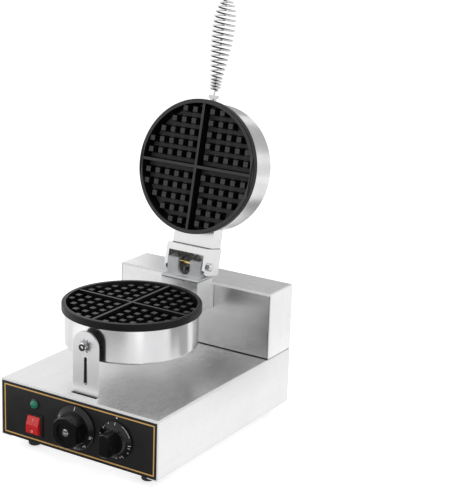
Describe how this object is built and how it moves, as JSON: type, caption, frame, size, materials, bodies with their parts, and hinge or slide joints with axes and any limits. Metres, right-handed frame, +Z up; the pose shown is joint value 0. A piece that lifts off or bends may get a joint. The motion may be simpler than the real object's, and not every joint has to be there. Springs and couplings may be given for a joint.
{
  "type": "belgian waffle maker",
  "caption": "Countertop round waffle maker with a stainless base, control panel, fixed lower drum and a hinged lid with a coiled wire handle.",
  "frame": {"origin": "middle of the whole appliance's footprint, lid open, at the level of the counter", "axes": "+X to the right seen from the control panel, +Y from the control panel to the back, +Z up"},
  "size_m": [0.25, 0.3683, 0.5721],
  "materials": {
    "stainless": "brushed sheet",
    "grid_coating": "black non-stick coating",
    "hinge_cast": "as cast, grey",
    "gasket": "dark fibre sheet",
    "handle_chrome": "bright",
    "panel_black": "satin black with a gold line",
    "knob_black": "satin black",
    "switch_black": "satin",
    "rocker_red": "translucent red",
    "lamp_green": "translucent green",
    "foot_rubber": "matte",
    "bright_zinc": "bright plated",
    "pin_brass": "drawn",
    "element_steel": "dull, heat tinted",
    "mineral_wool": "compressed wool",
    "control_housing": "moulded",
    "terminal_ceramic": "glazed",
    "lead_sleeve": "glass fibre sleeve"
  },
  "bodies": {
    "housing": {"base_cover": "stainless", "base_floor": "stainless", "base_back": "stainless", "hood_cover": "stainless", "hood_front": "stainless", "hood_back": "stainless", "front_stay": "stainless", "lower_drum": "stainless", "neck_box": "stainless", "drum_duct": "stainless", "lower_grid_plate": "grid_coating", "hinge_casting": "hinge_cast", "hinge_gasket": "gasket", "control_panel": "panel_black", "switch_body": "switch_black", "lamp_body": "switch_black", "cord_gland": "switch_black", "gland_nut": "switch_black", "lamp_lens": "lamp_green", "rubber_feet": "foot_rubber", "foot_screws": "bright_zinc", "foot_nuts": "bright_zinc", "stay_bolt": "bright_zinc", "stay_nut": "bright_zinc", "star_washer": "bright_zinc", "stay_spacer": "bright_zinc", "casting_screws": "bright_zinc", "lower_centre_bolt": "bright_zinc", "lower_element": "element_steel", "lower_press_plate": "element_steel", "lower_wool": "mineral_wool", "thermostat_body": "control_housing", "timer_body": "control_housing", "terminal_block": "terminal_ceramic", "neck_leads": "lead_sleeve"},
    "lid": {"upper_drum": "stainless", "upper_grid_plate": "grid_coating", "upper_element": "element_steel", "upper_press_plate": "element_steel", "upper_wool": "mineral_wool", "upper_centre_bolt": "bright_zinc", "lid_block": "stainless", "lid_channel": "stainless", "hinge_pin": "pin_brass", "hinge_nuts": "bright_zinc", "hinge_bushes": "bright_zinc", "stop_bar": "bright_zinc", "lid_leads": "lead_sleeve", "coil_handle": "handle_chrome", "handle_post": "handle_chrome", "handle_nut": "bright_zinc"},
    "rocker": {"power_rocker": "rocker_red"},
    "thermostat_dial": {"thermostat_knob": "knob_black", "thermostat_cap": "bright_zinc", "thermostat_shaft": "bright_zinc"},
    "timer_dial": {"timer_knob": "knob_black", "timer_shaft": "bright_zinc"}
  },
  "joints": [
    {"name": "lid_hinge", "type": "hinge", "parent": "housing", "child": "lid", "pos_m": [0, 0.09412, 0.2152], "axis": [1, 0, 0], "range_deg": [0, 102.2]},
    {"name": "power_switch", "type": "hinge", "parent": "housing", "child": "rocker", "pos_m": [-0.069, -0.15598, 0.0424], "axis": [1, 0, 0], "range_deg": [0, 22]},
    {"name": "thermostat_turn", "type": "hinge", "parent": "housing", "child": "thermostat_dial", "pos_m": [-0.001, -0.15698, 0.0566], "axis": [0, 1, 0], "range_deg": [0, 270]},
    {"name": "timer_turn", "type": "hinge", "parent": "housing", "child": "timer_dial", "pos_m": [0.062, -0.15698, 0.056], "axis": [0, 1, 0], "range_deg": [0, 300]}
  ]
}
